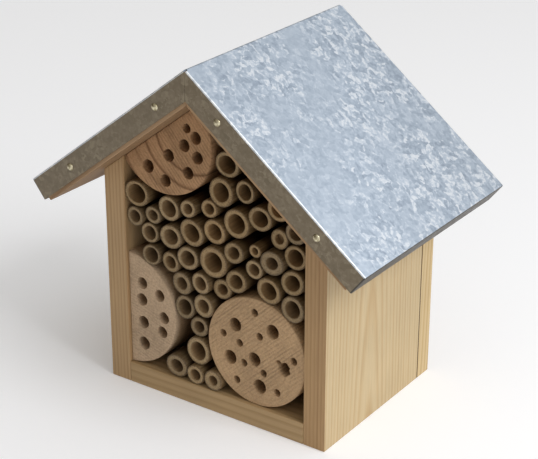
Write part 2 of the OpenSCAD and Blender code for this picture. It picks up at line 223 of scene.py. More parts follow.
def painted_shade_inside(add, place, colour, mouth_mm, reach_mm, middling, darkest):
    """Painted shade deep in holes and gaps: the colour falls from the mouth to darkest, reach_mm
    in.
    """
    along = add("ShaderNodeSeparateXYZ", place).outputs["Y"]
    depth = add("ShaderNodeMath", along, cad_low.y + mouth_mm * MM, operation="SUBTRACT")
    share = add("ShaderNodeMath", depth, reach_mm * MM, operation="DIVIDE")
    stops = [(0.0, "#FFFFFF"), (0.35, middling), (1.0, darkest)]
    return tinted(add, colour, share, stops, "EASE")


def mesh_from(name, bm):
    mesh = bpy.data.meshes.new(name)
    bm.to_mesh(mesh)
    bm.free()
    return mesh


def new_object(name, data):
    made = bpy.data.objects.new(name, data)
    bpy.context.scene.collection.objects.link(made)
    return made


def shade(mesh, sharp_degrees):
    mesh.shade_smooth()
    mesh.set_sharp_from_angle(angle=math.radians(sharp_degrees))


def cut_many_sided(bm):
    """Cuts faces with more than four corners into triangles, so that none of them is bent."""
    bmesh.ops.triangulate(bm, faces=[f for f in bm.faces if len(f.verts) > 4])


def mesh_piece(name, bm, material, nodes, sharp_degrees):
    mesh = mesh_from(name, bm)
    shade(mesh, sharp_degrees)
    piece = new_object(name, mesh)
    mesh.materials.append(material)
    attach(piece, "root")
    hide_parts(*nodes)
    print(name, len(mesh.polygons), "faces")
    return piece


def dress_cad_node(node, material):
    mesh_slots = cad_nodes[node].data.materials
    mesh_slots.clear()
    mesh_slots.append(material)


# %% [markdown]
# ## Finish: planed pine
# The boards are planed pine. A board shows its tree's growth rings: each is a tube round the
# pith, pale where it grew in spring and darker towards its summer edge, and a saw cut along the
# grain turns the tubes into stripes and arches. So the pattern is made in three dimensions from
# the distance to a pith line beside the board. One rule then gives long stripes on the faces and
# arcs on the sawn ends. Rings in such pine are about 2 to 3 mm apart.


# %% Growth rings
def growth_rings(add, distance, wander, stray, ring_mm, stops, years_differ):
    """Gives 0 in spring wood and 1 in summer wood. stray is how many rings' widths they wander."""
    rings = add("ShaderNodeMath", distance, 1 / (ring_mm * MM), operation="MULTIPLY")
    rings = add("ShaderNodeMath", wander, stray, rings, operation="MULTIPLY_ADD")
    within_ring = add("ShaderNodeMath", rings, operation="FRACT")
    summer = add("ShaderNodeValToRGB", within_ring, stops=stops)
    # Each ring's year gives it its own depth of colour
    number = add("ShaderNodeMath", rings, operation="FLOOR")
    year = add("ShaderNodeTexWhiteNoise", number, noise_dimensions="1D")
    strength = add("ShaderNodeMath", year, years_differ, 0.5, operation="MULTIPLY_ADD")
    return add("ShaderNodeMath", summer, strength, operation="MULTIPLY")


# %% Planed pine
def planed_pine(name, grain, pith, ring_mm, lean, pale, dark, seed=0.0, wild=1.0):
    """grain is the direction of the fibres, and pith a point on the tree's middle line in mm."""
    material, add, shader, place = new_material(name, Roughness=0.62, Specular_IOR_Level=0.35)
    upright = Vector(grain).rotation_difference(Vector((0, 0, 1))).to_euler("XYZ")
    moved = add("ShaderNodeVectorMath", place, [p * MM for p in pith], operation="SUBTRACT")
    for turn in (upright, [math.radians(a) for a in lean]):
        moved = add("ShaderNodeVectorRotate", moved, rotation_type="EULER_XYZ", Rotation=turn)
    # Slow wander of the rings, about ten times longer along the fibres than across them
    wander_place = add(
        "ShaderNodeMapping", moved, Location=(seed, seed, seed), Scale=scale_for(22.2, 22.2, 200)
    )
    wander = add("ShaderNodeTexNoise", wander_place, Scale=1.0, Detail=2.0)
    across = add("ShaderNodeVectorMath", moved, (1, 1, 0), operation="MULTIPLY")
    distance = add("ShaderNodeVectorMath", across, operation="LENGTH")
    summer = growth_rings(
        add, distance, wander, wild, ring_mm,
        [(0.0, 0.25), (0.12, 0.0), (0.45, 0.12), (0.84, 0.95), (1.0, 0.3)], 0.6,
    )
    # Fibres 0.8 mm wide: real ones are finer, and would not show
    fibre_place = add(
        "ShaderNodeMapping", moved, Location=(seed, 0, 0), Scale=scale_for(0.8, 0.8, 25)
    )
    fibres = add("ShaderNodeTexNoise", fibre_place, Scale=1.0, Detail=3.0, Roughness=0.6)
    blotch = add("ShaderNodeTexNoise", place, Scale=scale_for(71.4), Detail=2.0)
    colour = add("ShaderNodeMix", summer, pale, dark, data_type="RGBA")
    colour = tinted(add, colour, fibres, [(0.3, 0.89), (0.62, 1.0)])
    colour = tinted(add, colour, blotch, [(0.3, 0.9), (0.7, 1.0)])
    # Summer wood is harder and stands a little proud of the planed face
    relief = add("ShaderNodeMath", summer, 0.5, fibres, operation="MULTIPLY_ADD")
    finish_shader(add, shader, colour, relief, bump_mm=0.12)
    return material


# %% [markdown]
# ## The boards
# Planed boards never have knife-sharp edges: a pass with abrasive paper leaves about half a
# millimetre of round that catches the light. A copy of each CAD board keeps its screw holes and
# its pocket, its triangles are merged back into flat faces, and only its long edges are bevelled.


# %% Copy a CAD board with eased edges
weld_mm = 0.002  # CAD corners closer than this are the same corner
flat_angle, sharp_angle = 0.02, 0.5  # in radians, between a board's facets
joint_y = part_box("back_panel")[0].y + 1 * MM


def eased_copy(node, name, material, slot, ease_mm=0.6, longest_mm=12, front=None, joint=None):
    """front is a finish for the front edge, and joint one that paints the shade in the seam at a
    joint.
    """
    low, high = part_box(node)
    bm = bmesh.new()
    bm.from_mesh(cad_nodes[node].data)
    bmesh.ops.remove_doubles(bm, verts=bm.verts, dist=weld_mm * MM)
    flat_edges = [e for e in bm.edges if e.is_manifold and e.calc_face_angle() < flat_angle]
    bmesh.ops.dissolve_edges(bm, edges=flat_edges, use_verts=False)
    bmesh.ops.dissolve_degenerate(bm, edges=bm.edges, dist=weld_mm * MM / 2)
    sharp = [
        e for e in bm.edges
        if e.is_manifold and e.calc_face_angle() > sharp_angle
        and e.calc_length() > longest_mm * MM
    ]
    bmesh.ops.bevel(
        bm, geom=sharp, offset=ease_mm * MM, segments=2, affect="EDGES", profile=0.5,
        clamp_overlap=True,
    )
    cut_many_sided(bm)
    for face in bm.faces:
        middle_y = face.calc_center_median().y
        # Walls meet the back panel at their rear, and the back panel meets them at its front
        if high.y < joint_y:
            at_joint = middle_y > high.y - ease_mm * MM
        else:
            at_joint = middle_y < low.y + ease_mm * MM
        if front and face.normal.y < -0.5:
            face.material_index = 1
        # Painted shade in the seam where a wall meets the back panel
        elif joint and at_joint and abs(face.normal.y) < 0.98:
            face.material_index = 2
    # Every facet is flat: a smoothed corner would bend the light on the wide faces beside it
    piece = mesh_piece(name, bm, material, [node], sharp_degrees=12)
    for accent in (front, joint):
        if accent:
            piece.data.materials.append(accent)
    return piece


# %% Each board from its own tree
slope = math.radians(38)
upright, sideways = (0, 0, 1), (1, 0, 0)
down_left = (-math.cos(slope), 0, -math.sin(slope))
down_right = (math.cos(slope), 0, -math.sin(slope))
left_wall_cut = {"grain": upright, "pith": (-190, -30, 0), "ring_mm": 2.6, "lean": (1.5, 0, 0)}
board_woods = {
    "left_wall": planed_pine(
        "planed_pine_left_wall", pale="#BA9B72", dark="#9F7D55", seed=3.1, **left_wall_cut
    ),
    "right_wall": planed_pine(
        "planed_pine_right_wall", upright, (57, -8, 0), 2.7, (0, 1.8, 0), "#C6B18B", "#B89B70",
        seed=7.7, wild=0.7,
    ),
    "floor_board": planed_pine(
        "planed_pine_floor", sideways, (0, 20, -60), 3.4, (0, 1, 0), "#B69970", "#A08359", seed=1.9
    ),
    "back_panel": planed_pine(
        "planed_pine_back", upright, (20, 130, 0), 3.0, (2, 0, 0), "#CDB58A", "#B2935F", seed=5.3,
        wild=1.6,
    ),
    "left_roof_board": planed_pine(
        "planed_pine_left_roof", down_left, (-40, 60, 120), 2.6, (1, 0, 0), "#A58664", "#7F6040",
        seed=9.2,
    ),
    "right_roof_board": planed_pine(
        "planed_pine_right_roof", down_right, (40, 60, 120), 2.6, (1, 0, 0), "#B2906A", "#8C6843",
        seed=4.4,
    ),
}
board_slots = {
    "left_wall": "wall_pine", "right_wall": "wall_pine", "floor_board": "floor_pine",
    "back_panel": "back_pine", "left_roof_board": "roof_pine", "right_roof_board": "roof_pine",
}
# Painted shade: a darker pine on the right wall's front edge, and a dark one in the seam at the
# back
painted_shade_front_edge = planed_pine(
    "planed_pine_weathered_edge", pale="#B69469", dark="#9C7851", seed=6.6, **left_wall_cut
)
painted_joint_shade = planed_pine(
    "planed_pine_joint_grime", pale="#523E25", dark="#3E2D18", seed=8.8, **left_wall_cut
)
board_fronts = {
    "left_wall": board_woods["left_wall"], "right_wall": painted_shade_front_edge,
    "back_panel": board_woods["back_panel"],
}
for node, wood in board_woods.items():
    accents = {}
    if node in board_fronts:
        accents = {"front": board_fronts[node], "joint": painted_joint_shade}
    eased_copy(node, "planed_" + node, wood, board_slots[node], **accents)

# %% [markdown]
# ## Finish: sawn and drilled branch
# The three logs are cut across, so their ends show whole rings round the pith, fine cracks that
# run out from it, and the slanted lines that the saw's teeth left. Dry end grain drinks the light:
# it is rough and has almost no gloss. Rings in these branches are 2 to 3 mm apart, and the saw
# lines about 2 mm.


# %% Sawn end grain
def sawn_branch(
    name, pith, pale, dark, ring_mm, saw_degrees, saw_strength, ring_strength, seed,
    late_share=0.45, wander_mm=4.5, plain_mm=0.1,
):
    """late_share is a ring's dark part, wander_mm how far rings stray, plain_mm the bare middle."""
    material, add, shader, place = new_material(name, Roughness=0.8, Specular_IOR_Level=0.2)
    moved = add("ShaderNodeVectorMath", place, [p * MM for p in pith], operation="SUBTRACT")
    flat = add("ShaderNodeVectorMath", moved, (1, 0, 1), operation="MULTIPLY")
    distance = add("ShaderNodeVectorMath", flat, operation="LENGTH")
    wander_place = add(
        "ShaderNodeMapping", moved, Location=(seed, seed, 0), Scale=scale_for(16.7, 167, 16.7)
    )
    wander = add("ShaderNodeTexNoise", wander_place, Scale=1.0, Detail=3.0)
    late, latest = 1 - late_share, 1 - late_share / 3
    summer = growth_rings(
        add, distance, wander, wander_mm / ring_mm, ring_mm,
        [(0.0, 0.2), (0.08, 0.0), (late, 0.1), (latest, 1.0), (1.0, 0.3)], 0.7,
    )
    # Rings fade out towards the bare middle
    share = add("ShaderNodeMath", distance, plain_mm * MM, operation="DIVIDE")
    share = add("ShaderNodeMath", share, 3.0, operation="POWER")
    share = add("ShaderNodeMath", share, 1.0, operation="MINIMUM")
    for factor in (share, ring_strength):
        summer = add("ShaderNodeMath", summer, factor, operation="MULTIPLY")
    # Saw lines: bands 2 mm apart across the end, that bend a little
    turned = add("ShaderNodeMapping", moved, Rotation=(0, math.radians(saw_degrees), 0))
    saw = add(
        "ShaderNodeTexWave", turned, wave_type="BANDS", bands_direction="X", Scale=155.0,
        Distortion=1.6, Detail=3.0, Detail_Scale=1.5, Detail_Roughness=0.7, Phase_Offset=seed,
    ).outputs["Fac"]
    # Scratches of single teeth lie along the bands
    tooth_place = add("ShaderNodeMapping", turned, Scale=scale_for(1.11, 10, 16.7))
    teeth = add("ShaderNodeTexNoise", tooth_place, Scale=1.0, Detail=3.0)
    cuts = add("ShaderNodeMath", saw, 0.32, teeth, operation="MULTIPLY_ADD")
    # The teeth bit deeper in some places than in others
    bite = add(
        "ShaderNodeTexNoise", moved, noise_dimensions="4D", W=seed, Scale=scale_for(29.4),
        Detail=1.0,
    )
    cuts = add("ShaderNodeMath", bite, 1.1, cuts, operation="MULTIPLY_ADD")
    cuts = add("ShaderNodeMath", cuts, 0.1, operation="SUBTRACT")
    speck = add("ShaderNodeTexNoise", moved, Scale=scale_for(1.11), Detail=2.0)
    stain = add("ShaderNodeTexNoise", moved, Scale=scale_for(26.3), Detail=3.0, Roughness=0.6)
    colour = add("ShaderNodeMix", summer, pale, dark, data_type="RGBA")
    colour = tinted(add, colour, cuts, [(0.75, 1 - saw_strength), (1.0, 1.0)])
    colour = tinted(add, colour, speck, [(0.35, 0.82), (0.6, 1.0)])
    colour = tinted(add, colour, stain, [(0.3, 0.84), (0.65, 1.04)])
    # Painted shade inside the drilled holes, darker the deeper in
    colour = painted_shade_inside(add, place, colour, 26.5, 14, "#CFC3B2", "#9A8468")
    relief = add("ShaderNodeMath", speck, 0.8, cuts, operation="MULTIPLY_ADD")
    finish_shader(add, shader, colour, relief, bump_mm=0.35)
    return material


# %% [markdown]
# ## The drilled logs
# A Boolean could drill the holes, but it leaves razor edges and stray slivers. The CAD front face
# already gives the outline and every hole as a loop, so the log is woven from loops instead: a
# softened outer edge, a front face filled between the loops, and for each hole a mouth that
# flares a little where the drill tore the fibres, then a long wall and the drill's cone.


# %% Weave a log from the loops of its front face
def inset_loop(loop, distance):
    before = loop - np.roll(loop, 1, axis=0)
    after = np.roll(loop, -1, axis=0) - loop
    tangent = before / np.linalg.norm(before, axis=1)[:, None]
    tangent += after / np.linalg.norm(after, axis=1)[:, None]
    tangent /= np.linalg.norm(tangent, axis=1)[:, None]
    inward = np.stack([-tangent[:, 1], tangent[:, 0]], axis=1)
    return loop + inward * distance


def counterclockwise(loop):
    x, z = loop[:, 0], loop[:, 1]
    area = (x * np.roll(z, -1) - np.roll(x, -1) * z).sum()
    return loop if area > 0 else loop[::-1]


def resampled(loop, count):
    steps = np.linalg.norm(np.roll(loop, -1, axis=0) - loop, axis=1)
    walked = np.concatenate([[0], np.cumsum(steps)])
    closed = np.vstack([loop, loop[:1]])
    wanted = np.arange(count) * walked[-1] / count
    return np.stack([np.interp(wanted, walked, closed[:, k]) for k in (0, 1)], axis=1)


def add_ring(bm, loop, y):
    return [bm.verts.new((x, y, z)) for x, z in loop]


def join_rings(bm, first, second):
    for i in range(len(first)):
        j = (i + 1) % len(first)
        bm.faces.new((first[i], first[j], second[j], second[i]))


def drilled_log(node, name, material, seed, torn=()):
    """torn lists the holes, by order of size, whose mouths are ragged."""
    chance = random.Random(seed)
    low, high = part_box(node)
    loops = face_loops(node)
    outline = counterclockwise(loops[0])
    bm = bmesh.new()
    rounding, arc_steps, hole_steps = 0.9 * MM, 4, 40
    rings = []
    for step in range(arc_steps + 1):
        angle = math.pi / 2 * step / arc_steps
        inset = inset_loop(outline, rounding * (1 - math.sin(angle)))
        rings.append(add_ring(bm, inset, low.y + rounding * (1 - math.cos(angle))))
    rings.append(add_ring(bm, outline, high.y))
    for first, second in zip(rings, rings[1:]):
        join_rings(bm, first, second)
    bm.faces.new(rings[-1])
    front_edges = [bm.edges.get((a, b)) for a, b in zip(rings[0], rings[0][1:] + rings[0][:1])]
    for number, hole in enumerate(loops[1:]):
        centre, radius = loop_circle(hole)
        depth = max(
            v.co.y for v in cad_nodes[node].data.vertices
            if math.hypot(v.co.x - centre[0], v.co.z - centre[1]) < radius * 1.1
            and v.co.y < high.y - 1 * MM
        )
        smooth = resampled(counterclockwise(hole), hole_steps)
        tear = 0.10 if number in torn else 0.022
        raggedness = np.array([chance.uniform(-1, 1) for _ in range(hole_steps)])
        raggedness = (raggedness + np.roll(raggedness, 1) + 0.5 * np.roll(raggedness, 2)) * tear
        hole_rings = []
        for into_mm, flare in ((0, 1.07), (0.25, 1.025), (0.8, 1.0), (3, 0.99)):
            fade = max(0.0, 1 - into_mm / 2.5)
            scale = flare + raggedness * fade
            ring = centre + (smooth - centre) * scale[:, None]
            hole_rings.append(add_ring(bm, ring, low.y + into_mm * MM))
        hole_rings.append(add_ring(bm, centre + (smooth - centre) * 0.99, depth - radius * 0.6))
        for first, second in zip(hole_rings, hole_rings[1:]):
            join_rings(bm, second, first)
        tip = bm.verts.new((centre[0], depth, centre[1]))
        last = hole_rings[-1]
        for i in range(hole_steps):
            bm.faces.new((last[i], tip, last[(i + 1) % hole_steps]))
        mouth = hole_rings[0]
        front_edges += [bm.edges.get((a, b)) for a, b in zip(mouth, mouth[1:] + mouth[:1])]
    bmesh.ops.triangle_fill(bm, edges=front_edges, use_beauty=True, normal=(0, -1, 0))
    bmesh.ops.recalc_face_normals(bm, faces=bm.faces)
    return mesh_piece(name, bm, material, [node], 35)


def pith_in(node, across, up):
    """A log's pith in mm, as shares of its box's width and height. No branch is quite centred."""
    low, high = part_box(node)
    return [
        (low.x + across * (high.x - low.x)) / MM, 0.0, (low.z + up * (high.z - low.z)) / MM
    ]


drilled_log(
    "right_log", "drilled_right_log",
    sawn_branch(
        "sawn_branch_tan", pith_in("right_log", 0.54, 0.47), "#C1A17C", "#A17D57", 3.4, -47, 0.2,
        0.25, 2.3,
    ),
    11, torn=(0,),
)
# The left log was sawn in half beside its pith, which fell just outside the half that is left
drilled_log(
    "left_log", "drilled_left_log",
    sawn_branch(
        "sawn_branch_pale", pith_in("left_log", -0.056, 0.5), "#C2A88B", "#A98E70", 3.2, 75, 0.14,
        0.2, 5.9,
    ),
    12,
)
# The top log's flat sawn side leans against the roof board, and its pith lies close to that side
drilled_log(
    "top_log", "drilled_top_log",
    sawn_branch(
        "sawn_branch_reddish", pith_in("top_log", 0.78, 0.74), "#B8916B", "#5E3A22", 9.65, 40,
        0.26, 0.7, 8.1, late_share=0.3, wander_mm=1.8, plain_mm=27,
    ),
    13,
)

# %% [markdown]
# ## Finish: dry bamboo
# A bamboo cane is a grass stem. Its skin is smooth, grey-brown and finely streaked along the
# stem. A sawn mouth shows the wall's cross-section, which is full of dark fibre bundles that
# crowd towards the skin, and the bore is lined with paler pith. The cane's mesh carries three
# values from the step that shapes it: zone says skin, rim or bore, wall says how far out in the
# wall a point is, and tone is the one cane's own shade.


# %% Dry bamboo
def dry_bamboo():
    material, add, shader, place = new_material(
        "dry_bamboo", Roughness=0.6, Specular_IOR_Level=0.3
    )
    zone, wall, tone = [
        add("ShaderNodeAttribute", attribute_name=key).outputs["Fac"]
        for key in ("zone", "wall", "tone")
    ]
    streak_place = add("ShaderNodeMapping", place, Scale=scale_for(1.11, 45.5, 1.11))
    streaks = add("ShaderNodeTexNoise", streak_place, Scale=1.0, Detail=4.0, Roughness=0.65)
    skin_stops = [(0.25, "#57462F"), (0.5, "#766449"), (0.75, "#93826A")]
    skin = add("ShaderNodeValToRGB", streaks, stops=skin_stops)
    # Painted shade on the skins deeper in the bundle, where the gaps between canes fall dark
    skin = painted_shade_inside(add, place, skin, 27, 18, "#A08E78", "#4E3F2F")
    bore = add("ShaderNodeValToRGB", streaks, stops=[(0.3, "#8C765A"), (0.7, "#A68F70")])
    # Painted shade down each bore, darker the deeper in
    bore = painted_shade_inside(add, place, bore, 28, 34, "#CDC3B5", "#7F705A")
    # Fibre bundles: real ones are 0.4 mm across, drawn at 0.74 mm so that they show
    bundles = add("ShaderNodeTexVoronoi", place, Scale=scale_for(0.74), Randomness=1.0)
    outwards = add("ShaderNodeMath", wall, 1.0, operation="SUBTRACT")
    crowd = add("ShaderNodeMath", outwards, 0.35, operation="MULTIPLY")
    dots = add("ShaderNodeMath", bundles, crowd, operation="SUBTRACT")
    rim_stops = [(0.0, "#7D6950"), (0.2, "#9E8A6A"), (0.5, "#AF9C7C")]
    rim = add("ShaderNodeValToRGB", dots, stops=rim_stops)
    wear = add("ShaderNodeTexNoise", place, Scale=scale_for(3.85), Detail=3.0)
    rim = tinted(add, rim, wear, [(0.3, 0.8), (0.62, 1.0)])
    # The skin is a dark line round the cut, and the frayed pith a fainter one inside it
    across_wall = add("ShaderNodeMath", wall, 0.5, operation="MULTIPLY")
    rim = tinted(add, rim, across_wall, [(0.5, 0.72), (0.58, 1.0), (0.86, 1.0), (0.97, 0.55)])
    # Zone is 0 on the skin, 1 on the rim and 2 in the bore, and a mix keeps to 0 to 1
    past_rim = add("ShaderNodeMath", zone, 1.0, operation="SUBTRACT")
    colour = add("ShaderNodeMix", zone, skin, rim, data_type="RGBA")
    colour = add("ShaderNodeMix", past_rim, colour, bore, data_type="RGBA")
    cane_shades = [(0.0, "#CFC8BE"), (0.35, "#FFF6E8"), (0.7, "#E4D9C6"), (1.0, "#FFEFD6")]
    colour = tinted(add, colour, tone, cane_shades)
    relief = add("ShaderNodeMath", streaks, wear, operation="ADD")
    finish_shader(add, shader, colour, relief, bump_mm=0.15)
    return material


bamboo = dry_bamboo()

# %% [markdown]
# ## The bamboo canes
# The canes share one build and differ only in their sizes, so this is work for Geometry Nodes. A
# blank cane is one closed skin: round the outside, over the mouth, down the bore to the node that
# closes it. Each of its points says which part of that path it is on. The tree puts the blank on
# every cane's place and then moves each point to that cane's real radius and depth, with an oval
# section, a mouth that is not quite square and walls that wander, as in a real stem.


# %% The blank that every cane is shaped from
def cane_blank(around=44):
    """Path from the axis at the rear, over the skin, the mouth and the bore, to the axis."""
    # wall: 0 axis, 1 bore, 2 skin; along: 0 mouth, 1 end of the bore, 2 rear; then mm further
    # out, mm further in, and zone: 0 skin, 1 rim, 2 bore
    path = [
        (0, 2, 0, 0, 0), (2, 2, -0.3, 0, 0), (2, 2, 0, -0.3, 0), (2, 0.6, 0, 0, 0),
        (2, 0.15, 0, 0, 0), (2, 0.05, 0, 0, 0), (2, 0, 0, 0.9, 0), (2, 0, -0.05, 0.35, 0.15),
        (2, 0, -0.22, 0.08, 0.7), (2, 0, -0.5, 0, 1), (1.62, 0, 0, 0, 1), (1.35, 0, 0, 0, 1),
        (1, 0, 0.45, 0, 1), (1, 0, 0.16, 0.08, 1.2), (1, 0, 0.03, 0.35, 1.7), (1, 0, 0, 1, 2),
        (1, 0.05, 0, 0, 2), (1, 0.15, 0, 0, 2), (1, 0.4, 0, 0, 2), (1, 0.95, 0, 0, 2),
        (0.9, 1, 0, 0, 2), (0.5, 1, 0, -0.3, 2), (0, 1, 0, -0.5, 2),
    ]
    mesh = bpy.data.meshes.new("cane_blank")
    points, facets, values = [], [], []
    for row, step in enumerate(path):
        for k in range(around):
            angle = 2 * math.pi * k / around
            points.append((math.cos(angle) * MM, row * 0.1 * MM, math.sin(angle) * MM))
            values.append((angle, *step))
    for row in range(len(path) - 1):
        for k in range(around):
            a, b = row * around + k, row * around + (k + 1) % around
            facets.append((a, b, b + around, a + around))
    mesh.from_pydata(points, [], facets)
    for number, key in enumerate(("angle", "wall", "along", "out_mm", "in_mm", "zone")):
        attribute = mesh.attributes.new(key, "FLOAT", "POINT")
        attribute.data.foreach_set("value", [value[number] for value in values])
    return new_object("cane_blank", mesh)


def cane_places():
    chance = random.Random(45)
    mesh = bpy.data.meshes.new("cane_places")
    mesh.from_pydata([size["centre"] for size in cane_sizes.values()], [], [])
    columns = {
        key: [size[key] for size in cane_sizes.values()]
        for key in ("outer_r", "bore_r", "depth", "length")
    }
    columns["tone"] = [chance.random() for _ in cane_sizes]
    columns["lean"] = [chance.uniform(-1, 1) for _ in cane_sizes]
    for key, column in columns.items():
        mesh.attributes.new(key, "FLOAT", "POINT").data.foreach_set("value", column)
    centre = mesh.attributes.new("centre", "FLOAT_VECTOR", "POINT")
    centre.data.foreach_set("vector", [c for size in cane_sizes.values() for c in size["centre"]])
    return new_object("bamboo_canes", mesh)


# %% Geometry trees
def new_geometry_tree(name, inputs):
    """Returns the tree, its own add_node and its inputs' sockets."""
    tree = bpy.data.node_groups.new(name, "GeometryNodeTree")
    for socket_name, kind, default in [("Geometry", "NodeSocketGeometry", None), *inputs]:
        socket = tree.interface.new_socket(socket_name, in_out="INPUT", socket_type=kind)
        if default is not None:
            socket.default_value = default
    tree.interface.new_socket("Geometry", in_out="OUTPUT", socket_type="NodeSocketGeometry")
    add = partial(add_node, tree)
    return tree, add, add("NodeGroupInput").outputs


def real_copies(add, given, **turned):
    """A copy of the blank on every point, made real, because the export drops instances."""
    blank = add("GeometryNodeObjectInfo", Object=given["Blank"]).outputs["Geometry"]
    placed = add(
        "GeometryNodeInstanceOnPoints", Points=given["Geometry"], Instance=blank, **turned
    )
    return add("GeometryNodeRealizeInstances", placed)


def end_geometry_tree(add, geometry, material):
    done = add("GeometryNodeSetMaterial", Geometry=geometry, Material=material)
    add("NodeGroupOutput", done)


# %% The tree that shapes the canes
# Each cane has one random tone and one random lean, from -1 or 0 to 1. These spread them over
# many directions, and over places in the noise that are far apart.
turn_spread, wave_spread, lean_spread = 19.0, 50.0, 9.0


def cane_tree():
    tree, add, given = new_geometry_tree(
        "shape_canes",
        [
            ("Blank", "NodeSocketObject", None), ("Material", "NodeSocketMaterial", None),
            ("Ovalness", "NodeSocketFloat", 0.05), ("Wander mm", "NodeSocketFloat", 0.35),
            ("Mouth slant", "NodeSocketFloat", 0.05),
        ],
    )
    real = real_copies(add, given)
    centre = add("GeometryNodeInputNamedAttribute", data_type="FLOAT_VECTOR", Name="centre")
    angle, wall, along, out_mm, in_mm, outer_r, bore_r, depth, length, tone, lean = [
        add("GeometryNodeInputNamedAttribute", data_type="FLOAT", Name=key)
        for key in (
            "angle", "wall", "along", "out_mm", "in_mm", "outer_r", "bore_r", "depth", "length",
            "tone", "lean",
        )
    ]
    # Radius: inside the bore's radius up to wall 1, through the wall's thickness up to wall 2
    bore_share = add("ShaderNodeMath", wall, 1.0, operation="MINIMUM")
    past_bore = add("ShaderNodeMath", wall, 1.0, operation="SUBTRACT")
    wall_share = add("ShaderNodeMath", past_bore, 0.0, operation="MAXIMUM")
    thickness = add("ShaderNodeMath", outer_r, bore_r, operation="SUBTRACT")
    radius = add("ShaderNodeMath", bore_r, bore_share, operation="MULTIPLY")
    radius = add("ShaderNodeMath", thickness, wall_share, radius, operation="MULTIPLY_ADD")
    radius = add("ShaderNodeMath", out_mm, MM, radius, operation="MULTIPLY_ADD")
    # Ovalness: the section is narrower across a direction of its own, and never wider
    turn = add("ShaderNodeMath", tone, turn_spread, angle, operation="MULTIPLY_ADD")
    twice = add("ShaderNodeMath", turn, 2.0, operation="MULTIPLY")
    bulge = add("ShaderNodeMath", twice, operation="COSINE")
    bulge = add("ShaderNodeMath", bulge, 0.5, 0.5, operation="MULTIPLY_ADD")
    oval = add("ShaderNodeMath", bulge, given["Ovalness"], operation="MULTIPLY")
    narrowed = add("ShaderNodeMath", 1.0, oval, operation="SUBTRACT")
    radius = add("ShaderNodeMath", radius, narrowed, operation="MULTIPLY")
    # Wander: slow waves in the wall, stronger in the bore than on the skin
    sine = add("ShaderNodeMath", angle, operation="SINE")
    cosine = add("ShaderNodeMath", angle, operation="COSINE")
    across = add("ShaderNodeMath", cosine, wall, operation="ADD")
    inwards = add("ShaderNodeMath", along, 3.0, operation="MULTIPLY")
    inwards = add("ShaderNodeMath", tone, wave_spread, inwards, operation="MULTIPLY_ADD")
    spot = add("ShaderNodeCombineXYZ", across, inwards, sine)
    wave = add("ShaderNodeTexNoise", spot, Scale=1.3, Detail=2.0)
    wave = add("ShaderNodeMath", wave, 0.62, operation="SUBTRACT")
    softer_outside = add("ShaderNodeMath", 2.6, wall, operation="SUBTRACT")
    for factor in (given["Wander mm"], softer_outside, MM):
        wave = add("ShaderNodeMath", wave, factor, operation="MULTIPLY")
    off_axis = add("ShaderNodeMath", wall, 0.05, operation="GREATER_THAN")
    radius = add("ShaderNodeMath", wave, off_axis, radius, operation="MULTIPLY_ADD")
    # Distance in from the mouth: to the bore's end, and from there to the rear
    to_end = add("ShaderNodeMath", along, 1.0, operation="MINIMUM")
    past_end = add("ShaderNodeMath", along, 1.0, operation="SUBTRACT")
    past_end = add("ShaderNodeMath", past_end, 0.0, operation="MAXIMUM")
    behind = add("ShaderNodeMath", length, depth, operation="SUBTRACT")
    inward = add("ShaderNodeMath", depth, to_end, operation="MULTIPLY")
    inward = add("ShaderNodeMath", behind, past_end, inward, operation="MULTIPLY_ADD")
    inward = add("ShaderNodeMath", in_mm, MM, inward, operation="MULTIPLY_ADD")
    # Slant: the cut leans one way or the other, and the lean dies out inside
    near_mouth = add("ShaderNodeMath", 1.0, along, operation="SUBTRACT")
    near_mouth = add("ShaderNodeMath", near_mouth, 0.0, operation="MAXIMUM")
    slant = add("ShaderNodeMath", lean, lean_spread, angle, operation="MULTIPLY_ADD")
    slant = add("ShaderNodeMath", slant, operation="SINE")
    for factor in (radius, given["Mouth slant"], near_mouth):
        slant = add("ShaderNodeMath", slant, factor, operation="MULTIPLY")
    inward = add("ShaderNodeMath", inward, slant, operation="ADD")
    x = add("ShaderNodeMath", cosine, radius, operation="MULTIPLY")
    z = add("ShaderNodeMath", sine, radius, operation="MULTIPLY")
    moved = add("ShaderNodeCombineXYZ", x, inward, z)
    place = add("ShaderNodeVectorMath", centre, moved, operation="ADD")
    shaped = add("GeometryNodeSetPosition", real, Position=place)
    merged = add("GeometryNodeMergeByDistance", shaped, Distance=weld_mm * MM)
    end_geometry_tree(add, merged, given["Material"])
    return tree


# %% Run a tree and keep its result
def set_inputs(modifier, values):
    for item in modifier.node_group.interface.items_tree:
        if item.item_type == "SOCKET" and item.in_out == "INPUT" and item.name in values:
            modifier[item.identifier] = values[item.name]


def keep_result(piece, sharp_degrees, mend):
    """The result of a piece's modifiers becomes its own plain mesh, once mend has gone over it."""
    view_layer = bpy.context.evaluated_depsgraph_get()
    made = bpy.data.meshes.new_from_object(piece.evaluated_get(view_layer))
    piece.modifiers.clear()
    piece.data = made
    made.name = piece.name
    bm = bmesh.new()
    bm.from_mesh(made)
    mend(bm)
    bm.to_mesh(made)
    bm.free()
    shade(made, sharp_degrees)
    print(piece.name, len(made.vertices), "vertices", len(made.polygons), "faces")


def face_outwards(bm):
    bmesh.ops.recalc_face_normals(bm, faces=bm.faces)


def bake_tree(holder, tree, values):
    """Runs a tree on an object and leaves its result as the object's own plain mesh."""
    modifier = holder.modifiers.new("shape", "NODES")
    modifier.node_group = tree
    set_inputs(modifier, values)
    keep_result(holder, 50, face_outwards)
    return holder


# %% Shape the canes
blank = cane_blank()
canes = bake_tree(cane_places(), cane_tree(), {"Blank": blank, "Material": bamboo})
bpy.data.objects.remove(blank)
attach(canes, "root")
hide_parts(*cane_nodes)

